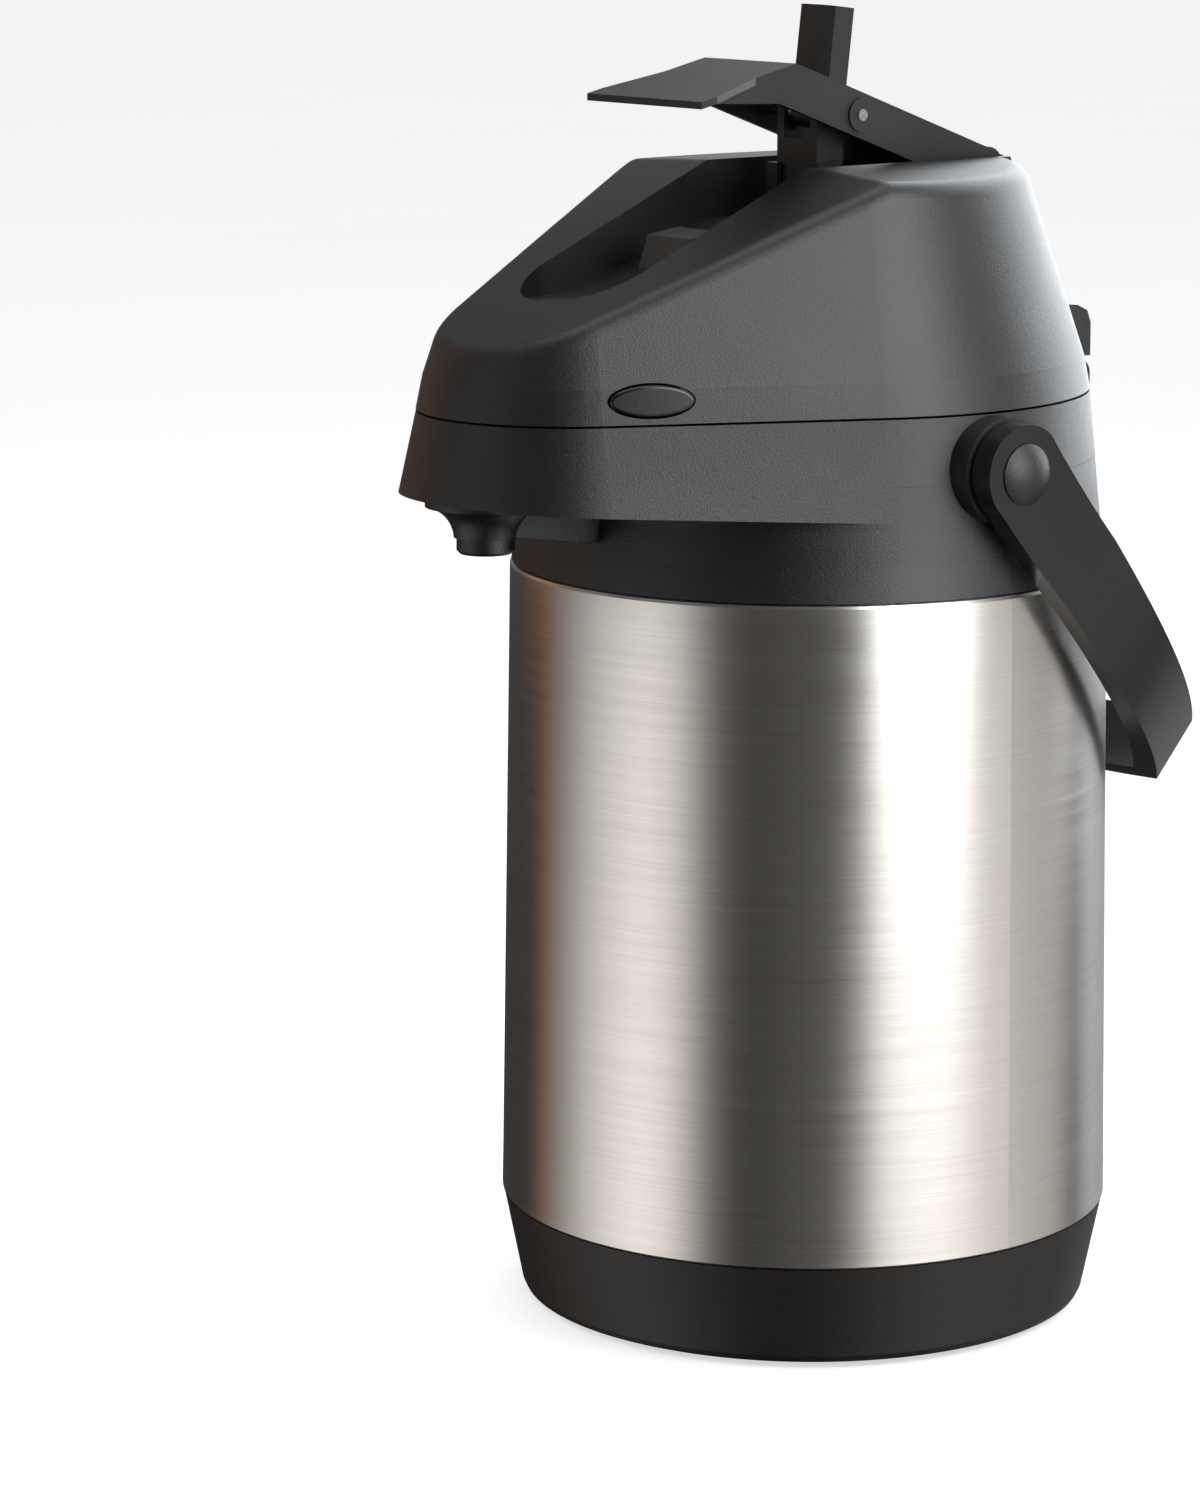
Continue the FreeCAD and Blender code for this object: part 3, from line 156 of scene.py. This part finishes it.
def brushed_steel(name):
    """Steel jacket brushed round its circumference."""
    material, tree = new_material(name)
    shader = principled(
        tree, (0.62, 0.595, 0.57), 0.3, 1.0, Anisotropic=0.8, Anisotropic_Rotation=0.25
    )
    place = tree.nodes.new("ShaderNodeTexCoord")
    # stretched noise: slow along the brushing, quick up the wall
    heights = []
    for across, up, detail in ((14.0, 2600.0, 4.0), (5.0, 420.0, 3.0)):
        squash = add(tree, "ShaderNodeMapping")
        squash.inputs["Scale"].default_value = (across, across, up)
        link(tree, place, "Object", squash, "Vector")
        noise = add(tree, "ShaderNodeTexNoise", scale=1.0, detail=detail, roughness=0.6)
        link(tree, squash, "Vector", noise, "Vector")
        heights.append(noise)
    fine, broad = heights
    tone = ramp(tree, [(0.3, (0.57, 0.545, 0.52)), (0.7, (0.68, 0.655, 0.63))])
    link(tree, fine, "Fac", tone, "Fac")
    link(tree, tone, "Color", shader, "Base Color")
    rough = add(tree, "ShaderNodeMapRange")
    rough.inputs["To Min"].default_value = 0.24
    rough.inputs["To Max"].default_value = 0.36
    link(tree, broad, "Fac", rough, "Value")
    link(tree, rough, "Result", shader, "Roughness")
    bump = add(tree, "ShaderNodeBump", strength=0.12, distance=BRUSH_BUMP_DEPTH)
    link(tree, fine, "Fac", bump, "Height")
    link(tree, bump, "Normal", shader, "Normal")
    tangent = tree.nodes.new("ShaderNodeTangent")
    tangent.direction_type = "RADIAL"
    tangent.axis = "Z"
    link(tree, tangent, "Tangent", shader, "Tangent")
    return material


def plain_steel(name):
    material, tree = new_material(name)
    shader = principled(tree, (0.66, 0.65, 0.64), 0.22, 1.0)
    place = tree.nodes.new("ShaderNodeTexCoord")
    noise = add(tree, "ShaderNodeTexNoise", scale=900.0, detail=2.0)
    link(tree, place, "Object", noise, "Vector")
    rough = add(tree, "ShaderNodeMapRange")
    rough.inputs["To Min"].default_value = 0.16
    rough.inputs["To Max"].default_value = 0.32
    link(tree, noise, "Fac", rough, "Value")
    link(tree, rough, "Result", shader, "Roughness")
    return material


def soft_rubber(name, colour, roughness):
    return moulded_plastic(name, colour, roughness, 900.0, 0.2, fleck=0.15)


MATERIALS = {
    "rubber": soft_rubber("foot_rubber", grey(0.02), 0.75),
    "base_plastic": moulded_plastic("base_plastic", (0.0055, 0.0032, 0.0026), 0.5, 2600.0, 0.3),
    "brushed_steel": brushed_steel("brushed_steel"),
    "plain_steel": plain_steel("plain_steel"),
    "silicone": soft_rubber("silicone", (0.5, 0.5, 0.48), 0.5),
    "black_plastic": moulded_plastic("collar_plastic", (0.007, 0.0066, 0.0072), 0.38, 2600.0, 0.5),
    "lid_plastic": moulded_plastic("lid_plastic", (0.0085, 0.0082, 0.0092), 0.36, 2600.0, 0.5),
    "handle_plastic": moulded_plastic("handle_plastic", (0.0045, 0.0043, 0.0048), 0.3, 1800.0, 0.08),
    "lever_plastic": moulded_plastic("lever_plastic", (0.0085, 0.0085, 0.009), 0.38, 1800.0, 0.2),
    "grey_plastic": moulded_plastic("latch_plastic", (0.034, 0.03, 0.029), 0.42, 2200.0, 0.3),
    "gloss_plastic": moulded_plastic("button_plastic", grey(0.006), 0.14, 900.0, 0.03),
    "clear_tube": soft_rubber("tube_plastic", (0.5, 0.52, 0.5), 0.35),
}

for entry in frame["record"]["subparts"]:
    node = nodes[entry["node"]]
    node.data.materials.clear()
    node.data.materials.append(MATERIALS[entry["material_slot"]])

# ---------------------------------------------------------------- studio


def turned_tent(name, low, high, stops):
    """A ring of soft boxes and dark flags that only reflections see."""
    vertices = []
    faces = []
    for index in range(TENT_SEGMENTS):
        angle = 2 * math.pi * index / TENT_SEGMENTS
        x = TENT_RADIUS * math.cos(angle)
        y = TENT_RADIUS * math.sin(angle)
        vertices.append((x, y, low))
        vertices.append((x, y, high))
    for index in range(TENT_SEGMENTS):
        here = 2 * index
        following = 2 * ((index + 1) % TENT_SEGMENTS)
        faces.append((here, following, following + 1, here + 1))
    mesh = bpy.data.meshes.new(name)
    mesh.from_pydata(vertices, [], faces)
    tent = bpy.data.objects.new(name, mesh)
    scene.collection.objects.link(tent)
    material, tree = new_material(name + "_glow")
    place = tree.nodes.new("ShaderNodeTexCoord")
    split = tree.nodes.new("ShaderNodeSeparateXYZ")
    link(tree, place, "Object", split, "Vector")
    angle = add(tree, "ShaderNodeMath", operation="ARCTAN2")
    link(tree, split, "X", angle, 0)
    minus_y = add(tree, "ShaderNodeMath", operation="MULTIPLY")
    link(tree, split, "Y", minus_y, 0)
    minus_y.inputs[1].default_value = -1.0
    link(tree, minus_y, "Value", angle, 1)
    # bearing from the camera, wrapped to 0..1 with the camera's own bearing at 0.5
    shift = add(tree, "ShaderNodeMath", operation="SUBTRACT")
    link(tree, angle, "Value", shift, 0)
    shift.inputs[1].default_value = math.radians(CAMERA_BEARING)
    turn = add(tree, "ShaderNodeMath", operation="DIVIDE")
    link(tree, shift, "Value", turn, 0)
    turn.inputs[1].default_value = 2 * math.pi
    half = add(tree, "ShaderNodeMath", operation="ADD")
    link(tree, turn, "Value", half, 0)
    half.inputs[1].default_value = 0.5
    wrap = add(tree, "ShaderNodeMath", operation="FRACT")
    link(tree, half, "Value", wrap, 0)
    glow = ramp(tree, [
        (0.5 + bearing / 360.0, tuple(bright * part for part in tint))
        for bearing, bright, tint in stops
    ])
    link(tree, wrap, "Value", glow, "Fac")
    emission = add(tree, "ShaderNodeEmission", strength=1.0)
    link(tree, glow, "Color", emission, "Color")
    output = tree.nodes.new("ShaderNodeOutputMaterial")
    tree.links.new(emission.outputs["Emission"], output.inputs["Surface"])
    mesh.materials.append(material)
    tent.visible_camera = False
    tent.visible_shadow = False
    tent.visible_diffuse = False
    return tent


def studio_floor():
    half = FLOOR_SIZE / 2
    mesh = bpy.data.meshes.new("floor")
    mesh.from_pydata(
        [(-half, -half, 0), (half, -half, 0), (half, half, 0), (-half, half, 0)],
        [], [(0, 1, 2, 3)],
    )
    floor = bpy.data.objects.new("floor", mesh)
    scene.collection.objects.link(floor)
    material, tree = new_material("floor_white")
    shader = principled(tree, grey(0.86), 0.6)
    shader.inputs["Emission Color"].default_value = (1, 1, 1, 1)
    shader.inputs["Emission Strength"].default_value = FLOOR_GLOW
    place = tree.nodes.new("ShaderNodeTexCoord")
    noise = add(tree, "ShaderNodeTexNoise", scale=3.0, detail=2.0)
    link(tree, place, "Object", noise, "Vector")
    tone = ramp(tree, [(0.3, grey(0.855)), (0.7, grey(0.875))])
    link(tree, noise, "Fac", tone, "Fac")
    link(tree, tone, "Color", shader, "Base Color")
    mesh.materials.append(material)
    floor.visible_glossy = False
    floor.visible_diffuse = False
    return floor


def white_backdrop():
    """Bright walls on the floor's four edges, so no view has a horizon."""
    half = FLOOR_SIZE / 2
    corners = [(-half, half), (half, half), (half, -half), (-half, -half)]
    mesh = bpy.data.meshes.new("backdrop")
    mesh.from_pydata(
        [(x, y, 0) for x, y in corners] + [(x, y, BACKDROP_HEIGHT) for x, y in corners],
        [], [(i, (i + 1) % 4, (i + 1) % 4 + 4, i + 4) for i in range(4)],
    )
    backdrop = bpy.data.objects.new("backdrop", mesh)
    scene.collection.objects.link(backdrop)
    material, tree = new_material("backdrop_white")
    emission = add(tree, "ShaderNodeEmission", strength=1.0)
    output = tree.nodes.new("ShaderNodeOutputMaterial")
    tree.links.new(emission.outputs["Emission"], output.inputs["Surface"])
    mesh.materials.append(material)
    backdrop.visible_shadow = False
    backdrop.visible_diffuse = False
    backdrop.visible_glossy = False
    return backdrop


def area_light(name, spot, target, size, power):
    data = bpy.data.lights.new(name, "AREA")
    data.shape = "RECTANGLE"
    data.size, data.size_y = size
    data.energy = power
    light = bpy.data.objects.new(name, data)
    scene.collection.objects.link(light)
    light.location = spot
    light.rotation_euler = (Vector(target) - Vector(spot)).to_track_quat("-Z", "Y").to_euler()
    return light


studio_floor()
white_backdrop()
turned_tent("low_tent", TENT_FOOT, TENT_SPLIT, LOW_STOPS)
turned_tent("high_tent", TENT_SPLIT, TENT_TOP, HIGH_STOPS)

world = bpy.data.worlds.new("studio")
scene.world = world
world.use_nodes = True
world.node_tree.nodes["Background"].inputs["Color"].default_value = (1, 1, 1, 1)
world.node_tree.nodes["Background"].inputs["Strength"].default_value = WORLD_STRENGTH
world.cycles_visibility.glossy = False

area_light("key", (1.0, 0.55, 1.25), (0, 0, 0.2), (0.9, 0.9), 9.0)
area_light("top", (-0.1, 0.0, 1.5), (0, 0, 0.2), (1.0, 1.0), 6.0)
area_light("left_fill", (-0.7, -1.0, 0.7), (0, -0.05, 0.2), (0.6, 0.9), 3.0)

# ---------------------------------------------------------------- camera

camera_data = bpy.data.cameras.new("camera")
camera_data.lens = CAMERA_LENS
camera_data.sensor_width = CAMERA_SENSOR
camera = bpy.data.objects.new("camera", camera_data)
scene.collection.objects.link(camera)
camera.location = CAMERA_SPOT
camera.rotation_euler = CAMERA_LOOK.to_track_quat("-Z", "Y").to_euler()
scene.camera = camera
scene.view_settings.view_transform = "Standard"
